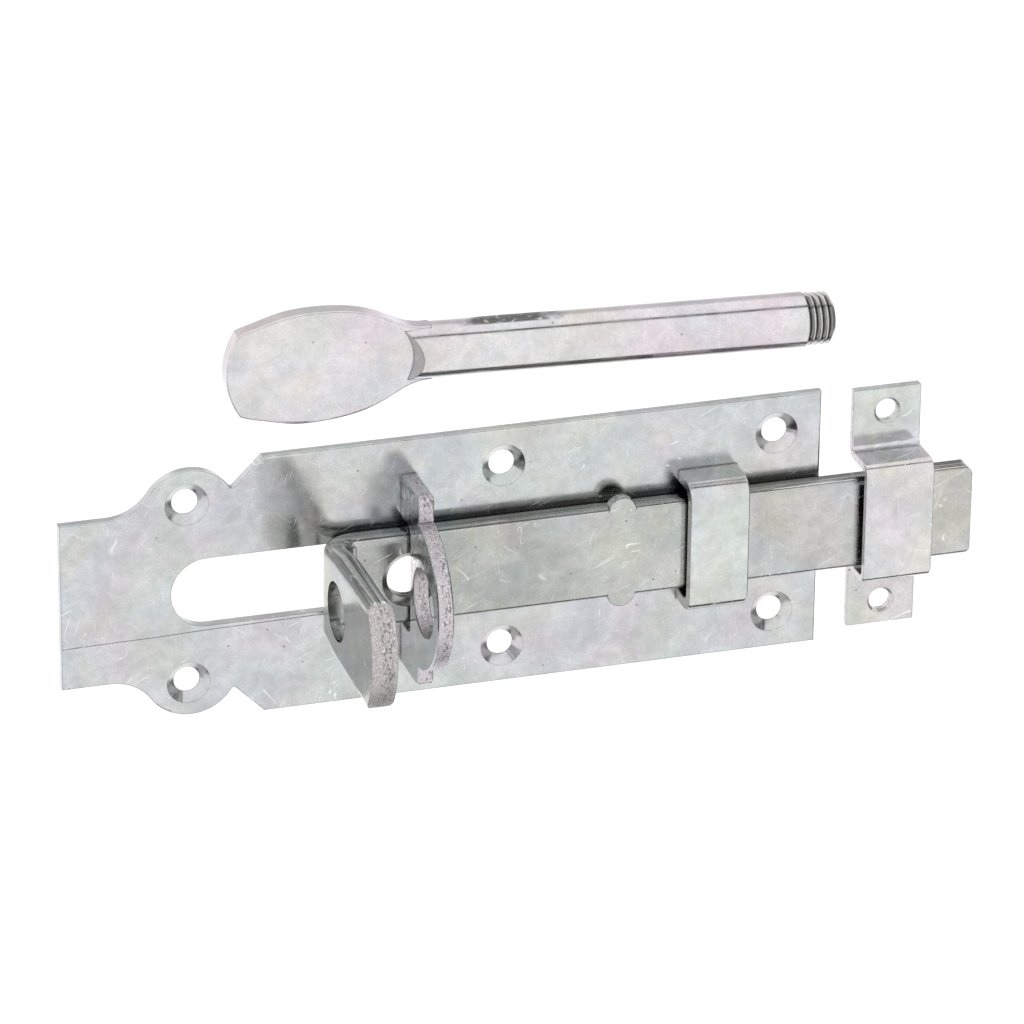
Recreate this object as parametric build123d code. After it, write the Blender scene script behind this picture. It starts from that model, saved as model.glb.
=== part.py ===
"""Barrel bolt with padlock bridge, strap, separate keeper and screw-in handle.

Frame: X runs along the bolt toward the keeper, Z is up, the back of the base plate lies on y = 0
and the front faces -Y. The origin is on that back face, in the middle of the four screw holes of the
plate's wide part. Sizes below are drawn from the middle of the plate's length, ORIGIN_X to the left of
the origin, and each part is moved over when it is written. Units are millimetres.
"""

import os

from build123d import *

os.makedirs("parts", exist_ok=True)

# Base plate
PLATE_T = 3.0
PLATE_HALF_LENGTH = 119.0
PLATE_HALF_HEIGHT = 42.0
TAIL_HALF_HEIGHT = 26.9
PLATE_EDGE_R = 0.8
LOBE_R = 15.0
LOBE_X = -79.3
LOBE_Z = 25.2
CUSP_X = -66.2
CUSP_R = 0.6
SLOT_HALF_WIDTH = 11.1
SLOT_LEFT = -85.3
SLOT_RIGHT = 15.0
STAKE_SPREAD = 0.7
STAKE_DEPTH = 0.9

# Countersunk screw holes: (x, z) of the upper hole of each pair
SCREW_R = 4.0
SCREW_HEAD_R = 6.7
TAIL_SCREWS = (-80.2, 29.3)
BODY_SCREWS = ((18.0, 30.0), (104.7, 30.0))
ORIGIN_X = (BODY_SCREWS[0][0] + BODY_SCREWS[1][0]) / 2

# Bolt bar: flat bar with one end bent to the front
BAR_T = 8.0
BAR_HALF_WIDTH = 15.0
BAR_GAP = 0.3
BAR_EDGE_R = 2.8
BAR_TIP = 165.8
EAR_X = -41.0
EAR_REACH = 65.0
EAR_TIP_R = 26.0
EAR_FLARE = ((-14.5, 15.0), (-24.0, 16.3))
EAR_HALF_WIDTH = 17.2
EAR_BEND_R = 3.0
EAR_HOLE_R = 9.2
BAR_BACK = -(PLATE_T + BAR_GAP)
BAR_FRONT = BAR_BACK - BAR_T

# Stop nibs on both long edges of the bar, near its front face
NIB_X = 53.4
NIB_R = 4.5
NIB_PROUD = 3.0
NIB_T = 4.0
NIB_SET_BACK = 0.3
NIB_EDGE_R = 0.6

# Handle thread, M16 x 2, and its hole through the bar
THREAD_R = 8.0
THREAD_ROOT_R = 6.9
THREAD_PITCH = 2.0
THREAD_RING_HALF = 0.42 * THREAD_PITCH
THREAD_CLEAR = 0.2
THREAD_HOLE_X = -13.4
THREAD_HOLE_MOUTH_R = 8.9

# Padlock bridge: a plate on edge that straddles the bolt
BRIDGE_X = -14.1
BRIDGE_T = 5.0
BRIDGE_HALF_HEIGHT = 31.0
BRIDGE_LEG_REACH = 21.2
BRIDGE_HEAD_R = 23.8
BRIDGE_HEAD_Y = -18.7
BRIDGE_HEAD_Z = -0.8
BRIDGE_TENON = (20.5, 28.5)
BRIDGE_GAP = 1.6
BRIDGE_EDGE_R = 0.5
BRIDGE_CORNER_R = 1.6
PADLOCK_Y = -26.7
BRIDGE_EYE_R = 10.6
WINDOW_HALF_HEIGHT = 17.6
WINDOW_CORNER_R = 3.0

# Guide strap
STRAP_T = 4.0
STRAP_LEFT = 73.4
STRAP_RIGHT = 92.2
STRAP_FRONT = -16.3
STRAP_EDGE_R = 0.8
STRAP_BEND_R = 2.2

# Keeper
KEEPER_T = 2.5
KEEPER_LEFT = 129.5
KEEPER_RIGHT = 151.5
KEEPER_FRONT = -16.3
KEEPER_Z = 1.0
KEEPER_HALF_LOOP = 19.8
KEEPER_HALF_HEIGHT = 39.6
KEEPER_SCREW_Z = 32.0
KEEPER_SCREW_R = 3.5
KEEPER_SCREW_MOUTH_R = 4.2
KEEPER_BEND_R = 1.5
KEEPER_EDGE_R = 0.5

# Handle: round rod with a flat forged paddle; its own axis is along X, paddle on the left
HANDLE_R = 8.5
HANDLE_AXIS = (40.0, -8.0, 71.4)
HANDLE_TILT = 1.95
ROD_END = 69.4
THREAD_LENGTH = 8.8
THREAD_CHAMFER = 1.2
PADDLE_T = 6.8
PADDLE_EDGE_R = 1.2
PADDLE_LEFT = -109.8
PADDLE_CORNER = (-105.8, 13.0)
PADDLE_DROOP = 3.0
PADDLE_EDGE = ((-99.5, 14.9), (-91.0, 17.0), (-81.5, 17.5), (-70.0, 16.2), (-61.0, 13.0), (-53.5, 9.4))
PADDLE_STEP_X = -66.6
PADDLE_STEP_R = 13.8
PADDLE_STEP_SLOPE = 2.2
NECK_X = -47.0


def box(x, y, z):
    """Box between the low and high ends given for each axis."""
    lo = [min(pair) for pair in (x, y, z)]
    hi = [max(pair) for pair in (x, y, z)]
    middle = [(a + b) / 2 for a, b in zip(lo, hi)]
    return Pos(*middle) * Box(*[b - a for a, b in zip(lo, hi)])


def rod_y(x, z, radius, y):
    """Cylinder along Y between the two y values."""
    return Pos(x, sum(y) / 2, z) * Rot(90, 0, 0) * Cylinder(radius, abs(y[1] - y[0]))


def rod_x(y, z, radius, x):
    """Cylinder along X between the two x values."""
    return Pos(sum(x) / 2, y, z) * Rot(0, 90, 0) * Cylinder(radius, abs(x[1] - x[0]))


def cone_y(x, z, back, front):
    """Cone along Y; back and front are (y, radius) pairs, back being the higher y."""
    middle = (back[0] + front[0]) / 2
    return Pos(x, middle, z) * Rot(90, 0, 0) * Cone(back[1], front[1], back[0] - front[0])


def mirror_z(shape):
    """The shape and its image below the bolt's centre line."""
    return [shape, mirror(shape, about=Plane.XY)]


def screw_hole(x, z, radius, mouth_r, thickness):
    """Through hole with a 45 degree countersink on the front face."""
    front = -thickness
    floor = front + mouth_r - radius
    return rod_y(x, z, radius, (1, front - 1)) + cone_y(x, z, (floor, radius), (front, mouth_r))


def staked_leg(x, z):
    """Part of a leg inside the plate, its end spread into a taper flush with the back face."""
    leg = box(x, (-PLATE_T, 0), z)
    middle = Pos(sum(x) / 2, 0, sum(z) / 2)
    width, height = x[1] - x[0], z[1] - z[0]
    wide = Plane.XZ * Rectangle(width + 2 * STAKE_SPREAD, height + 2 * STAKE_SPREAD)
    narrow = Pos(0, -STAKE_DEPTH, 0) * (Plane.XZ * Rectangle(width, height))
    return leg + middle * loft([wide, narrow])


def strap_legs():
    leg = staked_leg((STRAP_LEFT, STRAP_RIGHT), (WINDOW_HALF_HEIGHT, WINDOW_HALF_HEIGHT + STRAP_T))
    return mirror_z(leg)


def bridge_legs():
    return mirror_z(staked_leg((BRIDGE_X, BRIDGE_X + BRIDGE_T), BRIDGE_TENON))


def plate_outline():
    """Upper half of the outline: tail, S-curve, lobe, cusp and chamfer; mirrored below."""
    curve_z = TAIL_HALF_HEIGHT + LOBE_R
    curve_x = LOBE_X - ((2 * LOBE_R) ** 2 - (curve_z - LOBE_Z) ** 2) ** 0.5
    meet = Vector((curve_x + LOBE_X) / 2, (curve_z + LOBE_Z) / 2)
    cusp_z = LOBE_Z + (LOBE_R**2 - (CUSP_X - LOBE_X) ** 2) ** 0.5
    shoulder_x = CUSP_X + PLATE_HALF_HEIGHT - cusp_z
    with BuildSketch(Plane.XZ) as sketch:
        with BuildLine():
            Line((-PLATE_HALF_LENGTH, 0), (-PLATE_HALF_LENGTH, TAIL_HALF_HEIGHT))
            Line((-PLATE_HALF_LENGTH, TAIL_HALF_HEIGHT), (curve_x, TAIL_HALF_HEIGHT))
            TangentArc((curve_x, TAIL_HALF_HEIGHT), meet, tangent=(1, 0))
            ThreePointArc(meet, (LOBE_X, LOBE_Z + LOBE_R), (CUSP_X, cusp_z))
            Polyline(
                (CUSP_X, cusp_z),
                (shoulder_x, PLATE_HALF_HEIGHT),
                (PLATE_HALF_LENGTH, PLATE_HALF_HEIGHT),
                (PLATE_HALF_LENGTH, 0),
                (-PLATE_HALF_LENGTH, 0),
            )
        make_face()
        mirror(about=Plane.XZ)
        cusps = [corner for corner in sketch.vertices() if abs(corner.X - CUSP_X) < 0.1]
        fillet(cusps, CUSP_R)
    return sketch.sketch


def base_plate():
    plate = extrude(plate_outline(), PLATE_T)
    front_rim = plate.faces().sort_by(Axis.Y)[0].edges()
    plate = fillet(front_rim, PLATE_EDGE_R)
    left = SLOT_LEFT + SLOT_HALF_WIDTH
    right = SLOT_RIGHT - SLOT_HALF_WIDTH
    plate -= box((left, right), (1, -PLATE_T - 1), (-SLOT_HALF_WIDTH, SLOT_HALF_WIDTH))
    for x in (left, right):
        plate -= rod_y(x, 0, SLOT_HALF_WIDTH, (1, -PLATE_T - 1))
    for x, z in (TAIL_SCREWS, *BODY_SCREWS):
        for side in (1, -1):
            plate -= screw_hole(x, side * z, SCREW_R, SCREW_HEAD_R, PLATE_T)
    for leg in strap_legs() + bridge_legs():
        plate -= leg
    return plate


def bent_strip(points, thickness, bend_r, x):
    """Sheet of the given thickness along a centre line of (y, z) points, between two x values."""
    with BuildSketch(Plane.YZ.offset(x[0])) as sketch:
        with BuildLine() as line:
            FilletPolyline(*points, radius=bend_r + thickness / 2)
        trace(line.wire(), line_width=thickness)
    return extrude(sketch.sketch, x[1] - x[0])


def soften_sides(shape, radius, ends):
    """Rounds the edges of the faces that look along X, leaving those on the planes y = ends."""
    edges = shape.faces().filter_by(Axis.X).edges()
    return fillet([edge for edge in edges if abs(edge.center().Y - ends) > 0.01], radius)


def guide_strap():
    """Bent strap over the bolt, both legs staked into the plate."""
    z = WINDOW_HALF_HEIGHT + STRAP_T / 2
    front = STRAP_FRONT + STRAP_T / 2
    points = [(-PLATE_T, z), (front, z), (front, -z), (-PLATE_T, -z)]
    strap = bent_strip(points, STRAP_T, STRAP_BEND_R, (STRAP_LEFT, STRAP_RIGHT))
    strap = soften_sides(strap, STRAP_EDGE_R, -PLATE_T)
    for leg in strap_legs():
        strap += leg
    return strap


def padlock_bridge():
    """Punched plate on edge: two staked legs, a window for the bolt and a round head with an eye."""
    x = (BRIDGE_X, BRIDGE_X + BRIDGE_T)
    inner = BAR_FRONT - BRIDGE_GAP
    body = box(x, (-PLATE_T, -BRIDGE_LEG_REACH), (-BRIDGE_HALF_HEIGHT, BRIDGE_HALF_HEIGHT))
    corners = body.edges().filter_by(Axis.X).group_by(Axis.Y)[0]
    body = fillet(corners, BRIDGE_CORNER_R)
    head = rod_x(BRIDGE_HEAD_Y, BRIDGE_HEAD_Z, BRIDGE_HEAD_R, x)
    front = BRIDGE_HEAD_Y - BRIDGE_HEAD_R
    body += head & box(x, (inner, front), (-BRIDGE_HALF_HEIGHT, BRIDGE_HALF_HEIGHT))
    window = box((x[0] - 1, x[1] + 1), (2 * PLATE_T, inner), (-WINDOW_HALF_HEIGHT, WINDOW_HALF_HEIGHT))
    window = fillet(window.edges().filter_by(Axis.X).group_by(Axis.Y)[0], WINDOW_CORNER_R)
    body -= window
    body -= rod_x(PADLOCK_Y, BRIDGE_HEAD_Z, BRIDGE_EYE_R, (x[0] - 1, x[1] + 1))
    body = soften_sides(body, BRIDGE_EDGE_R, -PLATE_T)
    for leg in bridge_legs():
        body += leg
    return body


def thread_rings(length, root, crest):
    """Ring grooves of a 60 degree thread, as a solid to cut away, along X from 0."""
    rings = []
    for turn in range(int(length / THREAD_PITCH)):
        middle = THREAD_PITCH * (turn + 0.5)
        low, high = middle - THREAD_RING_HALF, middle + THREAD_RING_HALF
        outline = Polyline((low, crest), (middle, root), (high, crest), close=True)
        rings.append(revolve(Plane.XY * make_face(outline.edges()), Axis.X))
    return rings


def bar_profile():
    """The bar seen from above: straight, with its left end bent to the front."""
    inner_x = EAR_X + BAR_T
    with BuildSketch(Plane.XY.offset(-EAR_HALF_WIDTH)) as sketch:
        with BuildLine():
            Polyline(
                (BAR_TIP, BAR_BACK),
                (EAR_X, BAR_BACK),
                (EAR_X, -EAR_REACH),
                (inner_x, -EAR_REACH),
                (inner_x, BAR_FRONT),
                (BAR_TIP, BAR_FRONT),
                close=True,
            )
        make_face()
        corners = sketch.vertices()
        fillet(corners.sort_by_distance((EAR_X, BAR_BACK, -EAR_HALF_WIDTH))[0], EAR_BEND_R + BAR_T)
        corners = sketch.vertices()
        fillet(corners.sort_by_distance((inner_x, BAR_FRONT, -EAR_HALF_WIDTH))[0], EAR_BEND_R)
    return sketch.sketch


def bar_end_view():
    """The bar seen along X: its width, the ear's flare and the ear's rounded tip."""
    tip_y = EAR_TIP_R - EAR_REACH - (EAR_TIP_R**2 - EAR_HALF_WIDTH**2) ** 0.5
    with BuildSketch(Plane.YZ.offset(EAR_X)) as sketch:
        with BuildLine():
            upper = [(BAR_BACK, BAR_HALF_WIDTH), *EAR_FLARE, (tip_y, EAR_HALF_WIDTH)]
            lower = [(y, -z) for y, z in upper]
            Polyline(*reversed(upper), *lower)
            ThreePointArc((tip_y, -EAR_HALF_WIDTH), (-EAR_REACH, 0), (tip_y, EAR_HALF_WIDTH))
        make_face()
    return sketch.sketch


def bolt_bar():
    """Flat bar with rounded edges and a bent ear; padlock hole, threaded hole and stop nibs."""
    bar = extrude(bar_profile(), 2 * EAR_HALF_WIDTH)
    bar = bar & extrude(bar_end_view(), BAR_TIP - EAR_X)
    sides = [face for face in bar.faces() if abs(face.normal_at().Z) > 0.9]
    rims = [edge for face in sides for edge in face.edges()]
    flares = [y for y, z in EAR_FLARE]
    rims = [edge for edge in rims if min(abs(edge.center().Y - y) for y in flares) > 0.01]
    bar = fillet(rims, BAR_EDGE_R)
    for side in (1, -1):
        nib_z = side * (BAR_HALF_WIDTH + NIB_PROUD - NIB_R)
        nib_front = BAR_FRONT + NIB_SET_BACK
        nib = rod_y(NIB_X, nib_z, NIB_R, (nib_front + NIB_T, nib_front))
        bar += fillet(nib.edges(), NIB_EDGE_R)
    bar -= rod_x(PADLOCK_Y, 0, EAR_HOLE_R, (EAR_X - 1, EAR_X + BAR_T + 1))
    return bar - threaded_hole()


def threaded_hole():
    """Cutter for the M16 hole through the bar: core, a bevelled mouth at each end and the rings."""
    core = rod_y(THREAD_HOLE_X, 0, THREAD_ROOT_R, (BAR_BACK + 1, BAR_FRONT - 1))
    bevel = THREAD_HOLE_MOUTH_R - THREAD_ROOT_R
    wide, narrow = THREAD_HOLE_MOUTH_R, THREAD_ROOT_R
    core += cone_y(THREAD_HOLE_X, 0, (BAR_FRONT + bevel, narrow), (BAR_FRONT, wide))
    core += cone_y(THREAD_HOLE_X, 0, (BAR_BACK, wide), (BAR_BACK - bevel, narrow))
    place = Pos(THREAD_HOLE_X, BAR_BACK - bevel, 0) * Rot(0, 0, -90)
    for ring in thread_rings(BAR_T - 2 * bevel, THREAD_R, THREAD_ROOT_R - THREAD_CLEAR):
        core += place * ring
    return core


def keeper():
    """Hat-shaped strap for the frame: two drilled feet and a loop round the bolt's tip."""
    foot = -KEEPER_T / 2
    front = KEEPER_FRONT + KEEPER_T / 2
    z = KEEPER_HALF_LOOP - KEEPER_T / 2
    upper = [(foot, KEEPER_HALF_HEIGHT), (foot, z), (front, z)]
    lower = [(y, -height) for y, height in reversed(upper)]
    strip = bent_strip(upper + lower, KEEPER_T, KEEPER_BEND_R, (KEEPER_LEFT, KEEPER_RIGHT))
    strip = soften_sides(strip, KEEPER_EDGE_R, 1.0)
    middle = (KEEPER_LEFT + KEEPER_RIGHT) / 2
    for side in (1, -1):
        strip -= screw_hole(middle, side * KEEPER_SCREW_Z, KEEPER_SCREW_R, KEEPER_SCREW_MOUTH_R, KEEPER_T)
    return Pos(0, 0, KEEPER_Z) * strip


def paddle_outline():
    """Paddle seen from the front, symmetric about the rod's axis, running into the rod."""
    corner = PADDLE_CORNER
    with BuildSketch(Plane.XZ) as sketch:
        with BuildLine():
            ThreePointArc((corner[0], -corner[1]), (PADDLE_LEFT, 0), corner)
            Spline(corner, *PADDLE_EDGE, (NECK_X, HANDLE_R), tangents=((2.0, 0.7), (1.0, 0)))
            Line((NECK_X, HANDLE_R), (NECK_X, -HANDLE_R))
            lower_edge = [(x, -z) for x, z in reversed(PADDLE_EDGE)]
            Spline(
                (NECK_X, -HANDLE_R),
                *lower_edge,
                (corner[0], -corner[1]),
                tangents=((-1.0, 0), (-2.0, 0.7)),
            )
        make_face()
    return sketch.sketch


def paddle_steps():
    """What is cut off the rod in front of and behind the paddle, with a sloping round end."""
    steps = []
    for side in (1, -1):
        inner, outer = side * PADDLE_T / 2, side * (HANDLE_R + 1)
        round_end = Cone(PADDLE_STEP_R, PADDLE_STEP_R + PADDLE_STEP_SLOPE, HANDLE_R + 1 - PADDLE_T / 2)
        round_end = Pos(PADDLE_STEP_X, (inner + outer) / 2, 0) * Rot(-90 * side, 0, 0) * round_end
        flat = box((PADDLE_LEFT, PADDLE_STEP_X), (inner, outer), (-PADDLE_STEP_R, PADDLE_STEP_R))
        steps.append(round_end + flat)
    return steps


def handle():
    """Rod with a forged paddle and a short thread, lying loose above the plate."""
    droop = Pos(NECK_X, 0, 0) * Rot(0, -PADDLE_DROOP, 0) * Pos(-NECK_X, 0, 0)
    paddle = extrude(paddle_outline(), PADDLE_T / 2, both=True)
    paddle = fillet(paddle.faces().filter_by(Axis.Y).edges(), PADDLE_EDGE_R)
    rod = rod_x(0, 0, HANDLE_R, (PADDLE_STEP_X, ROD_END))
    for step in paddle_steps():
        rod -= droop * step
    end = rod_x(0, 0, THREAD_R, (ROD_END - 1, ROD_END + THREAD_LENGTH))
    end = chamfer(end.edges().sort_by(Axis.X)[-1], THREAD_CHAMFER)
    for ring in thread_rings(THREAD_LENGTH, THREAD_ROOT_R, THREAD_R + 0.1):
        end -= Pos(ROD_END, 0, 0) * ring
    return Pos(*HANDLE_AXIS) * Rot(0, HANDLE_TILT, 0) * (droop * paddle + rod + end)


PARTS = {
    "base_plate": base_plate,
    "guide_strap": guide_strap,
    "padlock_bridge": padlock_bridge,
    "bolt_bar": bolt_bar,
    "keeper": keeper,
    "handle": handle,
}

for name, make in PARTS.items():
    solids = (Pos(-ORIGIN_X, 0, 0) * make()).solids()
    export_step(solids[0] if len(solids) == 1 else Compound(solids), f"parts/{name}.step")
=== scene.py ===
"""Looks of the barrel bolt: zinc-plated steel, a pale floor, soft studio light and the camera.

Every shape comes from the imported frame. Each CAD node gets its own zinc material, whose patterns are
laid out in object space in millimetres, so that they stay on the metal when the bolt moves.
"""

import math

import bpy
from mathutils import Matrix, Vector


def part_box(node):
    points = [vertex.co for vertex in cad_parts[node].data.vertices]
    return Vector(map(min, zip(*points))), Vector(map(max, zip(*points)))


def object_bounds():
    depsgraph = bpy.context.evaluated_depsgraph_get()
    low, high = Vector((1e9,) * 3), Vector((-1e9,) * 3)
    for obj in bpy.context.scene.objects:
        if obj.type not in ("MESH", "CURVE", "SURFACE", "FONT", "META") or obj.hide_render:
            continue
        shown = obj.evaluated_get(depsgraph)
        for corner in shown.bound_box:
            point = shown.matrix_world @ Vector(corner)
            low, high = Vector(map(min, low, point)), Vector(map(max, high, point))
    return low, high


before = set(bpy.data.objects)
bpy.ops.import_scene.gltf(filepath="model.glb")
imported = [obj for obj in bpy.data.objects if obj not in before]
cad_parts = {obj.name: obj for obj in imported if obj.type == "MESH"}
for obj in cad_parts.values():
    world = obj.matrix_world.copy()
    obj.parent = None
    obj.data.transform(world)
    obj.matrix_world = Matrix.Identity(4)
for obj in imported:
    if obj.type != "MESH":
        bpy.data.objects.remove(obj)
cad_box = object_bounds()

# Camera, in degrees and metres
CAMERA_AZIMUTH = -17.48
CAMERA_ELEVATION = 24.83
CAMERA_ROLL = 0.65
CAMERA_DISTANCE = 1.9603
CAMERA_LOOKS_AT = Vector((-0.03966, 0.0, 0.01277))
CAMERA_LENS = 228.5
CAMERA_SENSOR = 36.0

# Floor, in metres
FLOOR_DROP = 0.28
FLOOR_SIZE = 14.0
FLOOR_TONE = (0.96, 0.96, 0.96, 1.0)
FLOOR_ROUGHNESS = 0.9

# White tent of light. Gaps run all along X and are (angle about X, half width, softness) in degrees.
# Cards are (direction, radius and softness in degrees, share of light left).
STUDIO_LIGHT = 1.32
GAPS = ((77.0, 2.0, 5.0), (-93.0, 6.0, 9.0))
GAP_LIGHT = 0.03
CARDS = (((1.0, 0.1, -0.15), 22.0, 14.0, 0.2), ((0.27, 0.87, 0.42), 12.0, 14.0, 0.62))

# Millimetres in a metre. The sizes and places of patterns are in millimetres from here on.
MM = 1000.0

# The bar's back and front faces, and where the sheared rim of the ear's end starts and is full, all as
# distances out from the plate's back
BAR_BACK = 3.3
BAR_FRONT = 11.3
EAR_RIM_STARTS = 52.0
EAR_RIM_FULL = 55.0

# Painted shade along edges and in corners
EDGE_WIDTH = 0.5
CORNER_SHADE_REACH = 2.2

# Marks: the line scribed on the plate's tail, the painted dark reflection on the rod, the duller stretch of
# the bar and the height at which the crystals on the bridge set in
SCRIBE_Z = -10.1
SCRIBE_SLOPE = 0.018
SCRIBE_FACE_Y = (-2.9, -2.7)
DARK_REFLECTION_X = -43.0
DARK_REFLECTION_HALF_LENGTH = (8.0, 17.0)
DARK_REFLECTION_WANDER = 26.0
DULL_BAR_X = (-45.0, 0.0)
DULL_BAR_TONES = (0.87, 1.03)
SPANGLE_Z = (4.0, 10.0)

# Tints of the passivation, as factors on the zinc's tone
ROSE = (1.045, 0.98, 1.02)
GREEN = (0.965, 1.025, 0.985)
BLUE = (0.94, 1.0, 1.06)
STRAW = (1.03, 1.02, 0.93)
SHEARED_ROSE = (1.03, 0.94, 0.99)

# Hair scratches: (shift of the pattern, lines per mm, width, share kept, bend)
HAIRS = (
    ((0.0, 0.0, 0.0), 0.05, 0.006, 0.42, 0.4),
    ((17.0, 3.0, 71.0), 0.09, 0.010, 0.38, 0.8),
    ((57.0, 23.0, 11.0), 0.2, 0.018, 0.33, 1.2),
)
HAIR_BREAKS_SHIFT = (31.0, 7.0, 53.0)

# Straight scratches: (angle in degrees, share kept), all of one length and width
STRAIGHT_SCRATCHES = ((24.0, 0.28), (-38.0, 0.26), (71.0, 0.26), (-83.0, 0.25))
STRAIGHT_LENGTH = 14.0
STRAIGHT_WIDTH = 0.26

# Greys of bare bright metal, of dark pits and the painted dark reflection on the rod, of the scribed line
# and the painted shade in corners, and of the painted shade along edges
BRIGHT = 0.95
BURNISHED = 0.92
PIT_AND_PAINTED_REFLECTION = 0.05
SCRIBE_AND_CORNER_SHADE = 0.06
EDGE_SHADE = 0.1


class Graph:
    """Short calls that build one node tree."""

    def __init__(self, tree):
        self.tree = tree
        self.tree.nodes.clear()

    def add(self, kind, inputs=(), **settings):
        """New node; inputs maps socket names or numbers to a socket or a plain value."""
        node = self.tree.nodes.new(kind)
        for name, value in settings.items():
            setattr(node, name, value)
        for key, value in dict(inputs).items():
            self.plug(node.inputs[key], value)
        return node

    def plug(self, socket, value):
        if isinstance(value, bpy.types.NodeSocket):
            self.tree.links.new(value, socket)
        else:
            socket.default_value = value

    def math(self, operation, a, b=0.0, clamp=False):
        node = self.add("ShaderNodeMath", {0: a, 1: b}, operation=operation, use_clamp=clamp)
        return node.outputs[0]

    def vector(self, operation, a, b=(0.0, 0.0, 0.0)):
        node = self.add("ShaderNodeVectorMath", {0: a, 1: b}, operation=operation)
        return node.outputs["Value"] if operation in ("DOT_PRODUCT", "LENGTH") else node.outputs["Vector"]

    def scaled(self, vector, factors):
        """The vector with each of its parts multiplied."""
        return self.vector("MULTIPLY", vector, factors)

    def parts(self, vector):
        return self.add("ShaderNodeSeparateXYZ", {0: vector}).outputs

    def noise(self, place, scale, detail=2.0, roughness=0.5, distortion=0.0):
        inputs = {
            "Vector": place,
            "Scale": scale,
            "Detail": detail,
            "Roughness": roughness,
            "Distortion": distortion,
        }
        return self.add("ShaderNodeTexNoise", inputs).outputs[0]

    def cells(self, place, scale, feature="F1", output="Distance"):
        node = self.add("ShaderNodeTexVoronoi", {"Vector": place, "Scale": scale}, feature=feature)
        return node.outputs[output]

    def ramp(self, value, low, high, to_low=0.0, to_high=1.0):
        """Smooth step: to_low below low, to_high above high."""
        inputs = {0: value, 1: low, 2: high, 3: to_low, 4: to_high}
        return self.add("ShaderNodeMapRange", inputs, interpolation_type="SMOOTHSTEP").outputs[0]

    def colour(self, factor, a, b, blend="MIX"):
        inputs = {0: factor, 6: a, 7: b}
        node = self.add("ShaderNodeMix", inputs, data_type="RGBA", blend_type=blend)
        return node.outputs[2]

    def rotated(self, place, angle):
        """The place turned about Y, so that its X and Z axes lie along the given angle in degrees."""
        inputs = {"Vector": place, "Angle": math.radians(angle), "Axis": (0.0, 1.0, 0.0)}
        return self.add("ShaderNodeVectorRotate", inputs, rotation_type="AXIS_ANGLE").outputs[0]


def grey(value):
    return (value, value, value, 1.0)


def tinted(tone, tint):
    return tuple(t * k for t, k in zip(tone, tint)) + (1.0,)


def cad_low(node):
    """Low corner of the node's box, in metres."""
    return Vector(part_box(node)[0])


def hairs(g, place, scale, width, share, bend):
    """Curved hair scratches: lines of equal noise, broken up so that only a share of each is left."""
    lines = g.math("ABSOLUTE", g.math("SUBTRACT", g.noise(place, scale, 1.0, 0.4, bend), 0.5))
    line = g.ramp(lines, 0.0, width, 1.0, 0.0)
    shifted = g.vector("ADD", place, HAIR_BREAKS_SHIFT)
    kept = g.ramp(g.noise(shifted, scale * 1.7, 2.0, 0.6), 1.0 - share, 1.0 - share + 0.05)
    return g.math("MULTIPLY", line, kept)


def straight_scratches(g, place, angle, share):
    """Straight scratches at one angle: noise stretched along it and cut off near its peaks."""
    along, across = 1.0 / STRAIGHT_LENGTH, 1.0 / STRAIGHT_WIDTH
    stretched = g.scaled(g.rotated(place, angle), (along, along, across))
    return g.ramp(g.noise(stretched, 1.0, 1.0, 0.5), 1.0 - share, 1.0 - share + 0.06)


def brightest(g, values):
    total = values[0]
    for value in values[1:]:
        total = g.math("MAXIMUM", total, value)
    return total


def times(g, *values):
    total = values[0]
    for value in values[1:]:
        total = g.math("MULTIPLY", total, value)
    return total


def between(g, amount, a, b):
    """The value a where the amount is 0, running to b where it is 1."""
    return g.math("ADD", g.math("MULTIPLY", amount, g.math("SUBTRACT", b, a)), a)


def passivation(g, place, tone):
    """Zinc grey with faint drifting tints of its clear passivation, in four weak hues."""
    first = g.ramp(g.noise(place, 0.022, 3.0, 0.55, 0.6), 0.36, 0.64)
    second = g.ramp(g.noise(g.vector("ADD", place, (90.0, 40.0, 10.0)), 0.034, 3.0, 0.6), 0.4, 0.68)
    third = g.ramp(g.noise(g.vector("ADD", place, (10.0, 70.0, 120.0)), 0.05, 4.0, 0.6), 0.46, 0.7)
    base = g.colour(first, tinted(tone, GREEN), tinted(tone, ROSE))
    base = g.colour(g.math("MULTIPLY", second, 0.8), base, tinted(tone, BLUE))
    return g.colour(g.math("MULTIPLY", third, 0.75), base, tinted(tone, STRAW))


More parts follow.
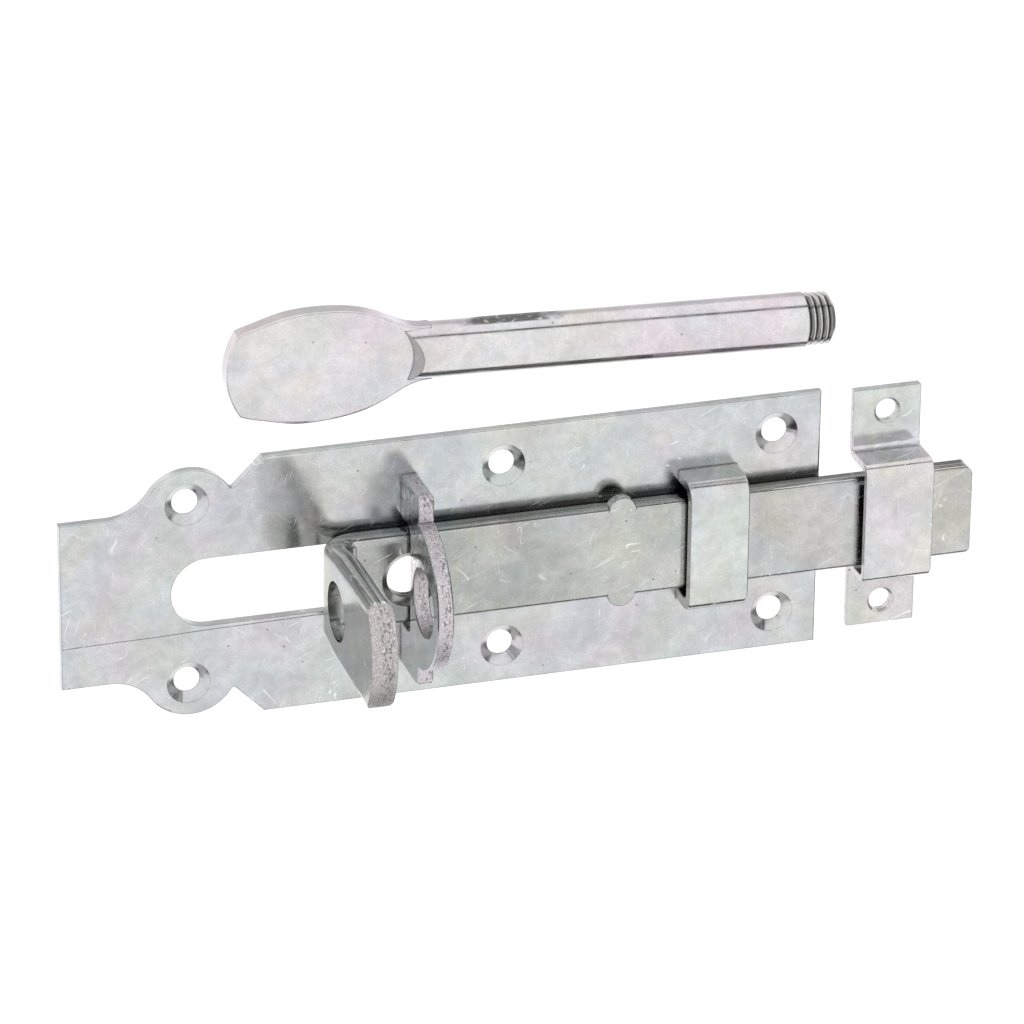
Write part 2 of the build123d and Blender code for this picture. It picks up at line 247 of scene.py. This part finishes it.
class Zinc:
    """Zinc-plated surface of one node, built up layer by layer before it becomes a material."""

    def __init__(self, node, look):
        self.look = look
        self.material = bpy.data.materials.new(node + "_zinc")
        self.material.use_nodes = True
        self.g = Graph(self.material.node_tree)
        coords = self.g.add("ShaderNodeTexCoord").outputs
        self.mm = self.g.scaled(coords["Object"], (MM, MM, MM))
        self.place = self.g.vector("ADD", self.mm, look["seed"])
        self.normal = [self.g.math("ABSOLUTE", part) for part in self.g.parts(coords["Normal"])]
        self.colour = passivation(self.g, self.place, look["tone"])
        self.rough = self.g.ramp(self.g.noise(self.place, 0.11, 4.0, 0.65), 0.3, 0.75, *look["roughness"])
        self.height = self.g.math("MULTIPLY", self.g.noise(self.place, 0.026, 2.0, 0.45), look["waves"])

    def tone_by(self, factor):
        """Multiplies the colour by a grey value."""
        self.colour = self.g.colour(1.0, self.colour, factor, "MULTIPLY")

    def paint(self, amount, colour):
        """Covers the colour so far with another one, by an amount from 0 to 1."""
        self.colour = self.g.colour(amount, self.colour, colour)

    def rougher(self, amount):
        self.rough = self.g.math("ADD", self.rough, amount, clamp=True)

    def raised(self, amount):
        self.height = self.g.math("ADD", self.height, amount)

    def clouds_and_grain(self):
        """Soft clouds, mottled film and fine grain in the tone, and a little orange peel in the height."""
        g, place, grain = self.g, self.place, self.look["grain"]
        self.tone_by(g.ramp(g.noise(place, 0.075, 5.0, 0.62, 0.3), 0.3, 0.72, self.look["cloud"], 1.07))
        fine = g.noise(place, 1.3, 3.0, 0.7)
        self.tone_by(g.ramp(fine, 0.25, 0.75, 1.0 - grain, 1.0 + grain))
        mottle = g.noise(place, 0.3, 4.0, 0.65, 0.4)
        self.tone_by(g.ramp(mottle, 0.32, 0.68, 1.0 - grain, 1.0 + grain))
        self.raised(g.math("MULTIPLY", g.noise(place, 0.6, 3.0, 0.6), self.look["peel"]))

    def scratches(self):
        """Hair and straight scratches, plain in some drifts and faint between them."""
        g, place, density = self.g, self.place, self.look["scratches"]
        layers = []
        for shift, scale, width, share, bend in HAIRS:
            layers.append(hairs(g, g.vector("ADD", place, shift), scale, width, share * density, bend))
        for angle, share in STRAIGHT_SCRATCHES:
            layers.append(straight_scratches(g, place, angle, share * density))
        scratch = brightest(g, layers)
        drift = g.noise(g.vector("ADD", place, (5.0, 45.0, 25.0)), 0.03, 3.0, 0.6)
        strength = g.ramp(drift, 0.42, 0.6, 0.25, 0.85)
        self.paint(g.math("MULTIPLY", scratch, strength), grey(BRIGHT))
        self.rougher(g.math("MULTIPLY", scratch, 0.2))
        self.raised(g.math("MULTIPLY", scratch, -0.008))

    def specks(self):
        """Fine bright dots in loose drifts, and a few dark pits."""
        g, place = self.g, self.place
        drifts = g.ramp(g.noise(place, 0.09, 2.0), 0.42, 0.6)
        dots = g.ramp(g.cells(place, 1.2), 0.1, 0.24, 1.0, 0.0)
        self.paint(times(g, dots, drifts, self.look["specks"]), grey(BRIGHT))
        pits = times(g, g.ramp(g.cells(place, 0.13), 0.028, 0.05, 1.0, 0.0), 0.75)
        self.paint(pits, grey(PIT_AND_PAINTED_REFLECTION))

    def painted_edge_shade(self):
        """Painted shade along every edge, dark and patchy, found from a rounded copy of the normal."""
        g = self.g
        sharp = g.add("ShaderNodeNewGeometry").outputs["Normal"]
        bevel = g.add("ShaderNodeBevel", {"Radius": EDGE_WIDTH / MM}, samples=4).outputs[0]
        edge = g.ramp(g.vector("DOT_PRODUCT", sharp, bevel), 0.86, 0.995, 1.0, 0.0)
        patches = g.ramp(g.noise(self.place, 0.35, 4.0, 0.7), 0.32, 0.55, 0.2, 1.0)
        # painted shade: the colour goes toward a near-black grey along the edges, in patches
        self.paint(times(g, edge, patches, self.look["edge_shade"]), grey(EDGE_SHADE))
        self.rougher(times(g, edge, 0.1))

    def painted_corner_shade(self):
        """Painted shade in the narrow corner where this piece meets itself or another, found by ambient
        occlusion.
        """
        g = self.g
        inputs = {"Color": grey(1.0), "Distance": CORNER_SHADE_REACH / MM}
        openness = g.add("ShaderNodeAmbientOcclusion", inputs, samples=4).outputs["AO"]
        corner = g.ramp(openness, 0.35, 0.72, 1.0, 0.0)
        # painted shade: the colour goes toward a near-black grey where ambient occlusion finds a narrow
        # corner
        self.paint(g.math("MULTIPLY", corner, 0.8), grey(SCRIBE_AND_CORNER_SHADE))

    def drawn_lines_and_painted_shade(self):
        """Upper and lower sides of the bar: lines drawn along it, and painted shade darkest at the back."""
        g = self.g
        side = g.ramp(self.normal[2], 0.5, 0.9)
        depth = g.math("MULTIPLY", g.parts(self.mm)[1], -1.0)
        shade_lifts_to_front = g.ramp(depth, BAR_BACK - 0.5, BAR_FRONT + 1.0)
        along_bar = g.noise(g.scaled(self.place, (0.004, 1.6, 1.6)), 1.0, 3.0, 0.7)
        along_ear = g.noise(g.scaled(self.place, (0.75, 0.008, 0.3)), 1.0, 2.0, 0.6)
        on_ear = g.ramp(depth, BAR_FRONT + 1.0, BAR_FRONT + 4.0)
        lines = between(g, on_ear, along_bar, along_ear)
        # painted shade: the sides turn darker toward the back, next to the plate
        tone = g.math("MULTIPLY", g.ramp(lines, 0.36, 0.6, 0.25, 1.35), g.math("ADD", shade_lifts_to_front, 0.1))
        self.tone_by(between(g, side, 1.0, tone))
        self.raised(times(g, side, g.math("MULTIPLY", lines, 0.03)))

    def punched_rim(self, mask, across):
        """Sheared edge: a smooth burnished side, and a torn side with dark pits; across runs 0 to 1."""
        g = self.g
        rose = tinted(self.look["tone"], SHEARED_ROSE)
        self.paint(g.math("MULTIPLY", mask, 0.8), rose)
        torn = g.math("MULTIPLY", g.ramp(across, 0.3, 0.45), g.ramp(across, 0.8, 0.95, 1.0, 0.0))
        coarse = g.noise(g.scaled(self.place, (1.6, 0.8, 0.8)), 0.9, 5.0, 0.8, 0.6)
        holes = g.ramp(coarse, 0.4, 0.5, 1.0, 0.0)
        amount = times(g, holes, mask, g.math("ADD", g.math("MULTIPLY", torn, 0.6), 0.25))
        self.paint(amount, grey(PIT_AND_PAINTED_REFLECTION))
        bright = g.ramp(g.noise(self.place, 1.8, 4.0, 0.75), 0.54, 0.64)
        self.paint(times(g, bright, mask, 0.7), grey(BURNISHED))
        self.raised(times(g, coarse, mask, 0.22))
        self.rougher(times(g, mask, 0.12))

    def spangle(self, mask):
        """Patch of crystalline zinc, each crystal with its own brightness and slight tilt."""
        g = self.g
        stretched = g.scaled(self.place, (1.0, 1.3, 0.7))
        crystal = g.parts(g.cells(stretched, 1.0, output="Color"))[0]
        tone = g.ramp(crystal, 0.0, 1.0, 0.35, 1.75)
        self.tone_by(between(g, mask, 1.0, tone))
        self.raised(times(g, mask, crystal, 0.03))

    def finished(self):
        g = self.g
        bump = g.add("ShaderNodeBump", {"Height": self.height, "Distance": 1.0 / MM, "Strength": 1.0})
        inputs = {
            "Base Color": self.colour,
            "Metallic": 1.0,
            "Roughness": self.rough,
            "Normal": bump.outputs[0],
        }
        shader = g.add("ShaderNodeBsdfPrincipled", inputs)
        g.add("ShaderNodeOutputMaterial", {"Surface": shader.outputs[0]})
        return self.material


def mark_base_plate(zinc):
    """Thin scribed line along the tail, just below the middle."""
    g = zinc.g
    x, y, z = g.parts(zinc.mm)
    line_z = g.math("ADD", g.math("MULTIPLY", x, SCRIBE_SLOPE), SCRIBE_Z)
    wobble = g.math("MULTIPLY", g.math("SUBTRACT", g.noise(zinc.place, 0.05, 2.0), 0.5), 0.5)
    away = g.math("ABSOLUTE", g.math("ADD", g.math("SUBTRACT", z, line_z), wobble))
    line = g.ramp(away, 0.05, 0.22, 1.0, 0.0)
    front = g.ramp(y, *SCRIBE_FACE_Y, 1.0, 0.0)
    patchy = g.ramp(g.noise(zinc.place, 0.3, 3.0), 0.3, 0.5, 0.45, 1.0)
    zinc.paint(times(g, line, front, patchy, 0.8), grey(SCRIBE_AND_CORNER_SHADE))
    zinc.raised(times(g, line, front, -0.03))


def mark_bolt_bar(zinc):
    """Duller toward the bridge, with drawn lines and painted shade on its sides, and a sheared end."""
    g = zinc.g
    zinc.drawn_lines_and_painted_shade()
    x, y = g.parts(zinc.mm)[:2]
    zinc.tone_by(g.ramp(x, *DULL_BAR_X, *DULL_BAR_TONES))
    left = cad_low("bolt_bar").x * MM
    across = g.math("DIVIDE", g.math("SUBTRACT", x, left), BAR_FRONT - BAR_BACK)
    near_tip = g.ramp(y, -EAR_RIM_FULL, -EAR_RIM_STARTS, 1.0, 0.0)
    not_left_or_right = g.ramp(zinc.normal[0], 0.35, 0.6, 1.0, 0.0)
    not_up_or_down = g.ramp(zinc.normal[2], 0.7, 0.9, 1.0, 0.0)
    zinc.punched_rim(times(g, near_tip, not_left_or_right, not_up_or_down), across)


def mark_padlock_bridge(zinc):
    """Punched rim all round, and crystals on the upper leg's two flat sides."""
    g = zinc.g
    parts = g.parts(zinc.mm)
    low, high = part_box("padlock_bridge")
    across = g.math("DIVIDE", g.math("SUBTRACT", parts[0], low.x * MM), (high.x - low.x) * MM)
    zinc.punched_rim(g.ramp(zinc.normal[0], 0.35, 0.6, 1.0, 0.0), across)
    flat = g.ramp(zinc.normal[0], 0.85, 0.95)
    patchy = g.ramp(g.noise(zinc.place, 0.08, 2.0), 0.25, 0.45, 0.3, 1.0)
    zinc.spangle(times(g, flat, patchy, g.ramp(parts[2], *SPANGLE_Z)))


def paint_handle_reflection(zinc):
    """Painted dark reflection: a near-black streak on the rod's upper side near the paddle."""
    g = zinc.g
    x = g.parts(zinc.mm)[0]
    wander = g.math("SUBTRACT", g.noise(zinc.place, 0.12, 4.0, 0.6), 0.5)
    wandered = g.math("ADD", x, g.math("MULTIPLY", wander, DARK_REFLECTION_WANDER))
    there = g.ramp(g.math("ABSOLUTE", g.math("SUBTRACT", wandered, DARK_REFLECTION_X)), *DARK_REFLECTION_HALF_LENGTH, 1.0, 0.0)
    up = g.parts(g.add("ShaderNodeTexCoord").outputs["Normal"])[2]
    band = g.ramp(up, 0.91, 0.95)
    scale = times(g, there, band, g.ramp(g.noise(zinc.place, 0.5, 4.0, 0.7), 0.3, 0.45), 0.85)
    # painted reflection: the streak masked here is painted near-black on the rod's top
    zinc.paint(scale, grey(PIT_AND_PAINTED_REFLECTION))
    zinc.rougher(g.math("MULTIPLY", scale, 0.3))


def mark_sheared_sheet(zinc):
    """Strap and keeper: their sawn or sheared sides look along X."""
    g = zinc.g
    across = g.ramp(g.noise(zinc.place, 0.2, 2.0), 0.2, 0.8)
    zinc.punched_rim(g.math("MULTIPLY", g.ramp(zinc.normal[0], 0.6, 0.85), 0.5), across)


# Looks: what every node has, and what each node has of its own
SHARED_LOOK = dict(
    cloud=0.88,
    grain=0.055,
    specks=0.35,
    scratches=1.0,
    roughness=(0.12, 0.24),
    waves=0.5,
    peel=0.004,
    # The next value sets how strong the painted shade along edges is
    edge_shade=0.9,
)
LOOKS = {
    "base_plate": dict(
        seed=(0.0, 0.0, 0.0), tone=(0.5, 0.505, 0.51), roughness=(0.13, 0.24), marks=mark_base_plate
    ),
    "guide_strap": dict(seed=(210.0, 0.0, 40.0), tone=(0.54, 0.54, 0.53), marks=mark_sheared_sheet),
    "padlock_bridge": dict(seed=(80.0, 130.0, 0.0), tone=(0.5, 0.495, 0.5), marks=mark_padlock_bridge),
    "bolt_bar": dict(seed=(0.0, 300.0, 90.0), tone=(0.43, 0.43, 0.415), marks=mark_bolt_bar),
    "keeper": dict(seed=(400.0, 60.0, 0.0), tone=(0.54, 0.54, 0.54), marks=mark_sheared_sheet),
    "handle": dict(
        seed=(0.0, 60.0, 500.0),
        tone=(0.575, 0.545, 0.56),
        cloud=0.94,
        specks=0.5,
        scratches=0.75,
        edge_shade=1.0,
        marks=paint_handle_reflection,
    ),
}


def zinc_material(node):
    """The node's own zinc: film and grain, then its marks, then specks, scratches and painted shade along
    edges and in corners on top of them.
    """
    zinc = Zinc(node, {**SHARED_LOOK, **LOOKS[node]})
    zinc.clouds_and_grain()
    zinc.look["marks"](zinc)
    zinc.specks()
    zinc.scratches()
    zinc.painted_edge_shade()
    zinc.painted_corner_shade()
    return zinc.finished()


def dress_nodes():
    for node in LOOKS:
        material = zinc_material(node)
        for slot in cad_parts[node].material_slots:
            slot.material = material


def make_camera():
    azimuth = math.radians(CAMERA_AZIMUTH)
    elevation = math.radians(CAMERA_ELEVATION)
    back = Vector((
        math.sin(azimuth) * math.cos(elevation),
        -math.cos(azimuth) * math.cos(elevation),
        math.sin(elevation),
    ))
    roll = Matrix.Rotation(math.radians(CAMERA_ROLL), 3, "Z").to_quaternion()
    data = bpy.data.cameras.new("camera")
    data.lens = CAMERA_LENS
    data.sensor_width = CAMERA_SENSOR
    camera = bpy.data.objects.new("camera", data)
    camera.location = CAMERA_LOOKS_AT + back * CAMERA_DISTANCE
    camera.rotation_mode = "QUATERNION"
    camera.rotation_quaternion = back.to_track_quat("Z", "Y") @ roll
    bpy.context.scene.collection.objects.link(camera)
    bpy.context.scene.camera = camera


def make_floor():
    z = cad_box[0].z - FLOOR_DROP
    half = FLOOR_SIZE / 2
    mesh = bpy.data.meshes.new("floor")
    corners = [(-half, -half, z), (half, -half, z), (half, half, z), (-half, half, z)]
    mesh.from_pydata(corners, [], [(0, 1, 2, 3)])
    floor = bpy.data.objects.new("floor", mesh)
    floor.visible_glossy = False
    bpy.context.scene.collection.objects.link(floor)
    material = bpy.data.materials.new("pale_floor")
    material.use_nodes = True
    shader = material.node_tree.nodes["Principled BSDF"]
    shader.inputs["Base Color"].default_value = FLOOR_TONE
    shader.inputs["Roughness"].default_value = FLOOR_ROUGHNESS
    shader.inputs["Specular IOR Level"].default_value = 0.0
    mesh.materials.append(material)


def dark_gap(g, angle, centre, half_width, softness):
    """Share of light left near one angle about X, in degrees, where the studio's white walls have a gap."""
    away = g.math("ABSOLUTE", g.math("SUBTRACT", angle, math.radians(centre)))
    return g.ramp(away, math.radians(half_width), math.radians(half_width + softness), GAP_LIGHT, 1.0)


def dark_card(g, direction, toward, radius, softness, left):
    """Share of light left around one direction, where a dark card of that radius in degrees stands."""
    facing = g.vector("DOT_PRODUCT", direction, tuple(Vector(toward).normalized()))
    inner = math.cos(math.radians(radius))
    outer = math.cos(math.radians(radius + softness))
    return g.ramp(facing, outer, inner, 1.0, left)


def make_studio():
    """White tent of light, with gaps and cards that draw dark lines and edges on the metal."""
    world = bpy.data.worlds.new("studio")
    bpy.context.scene.world = world
    world.use_nodes = True
    g = Graph(world.node_tree)
    direction = g.add("ShaderNodeTexCoord").outputs["Generated"]
    y, z = g.parts(direction)[1:]
    angle = g.math("ARCTAN2", z, g.math("MULTIPLY", y, -1.0))
    gaps = [dark_gap(g, angle, *gap) for gap in GAPS]
    cards = [dark_card(g, direction, *card) for card in CARDS]
    light = times(g, STUDIO_LIGHT, *gaps, *cards)
    shown = g.add("ShaderNodeLightPath").outputs["Is Camera Ray"]
    strength = g.math("ADD", light, g.math("MULTIPLY", shown, STUDIO_LIGHT))
    background = g.add("ShaderNodeBackground", {"Color": grey(1.0), "Strength": strength})
    g.add("ShaderNodeOutputWorld", {"Surface": background.outputs[0]})


dress_nodes()
make_camera()
make_floor()
make_studio()
bpy.context.scene.view_settings.view_transform = "Standard"
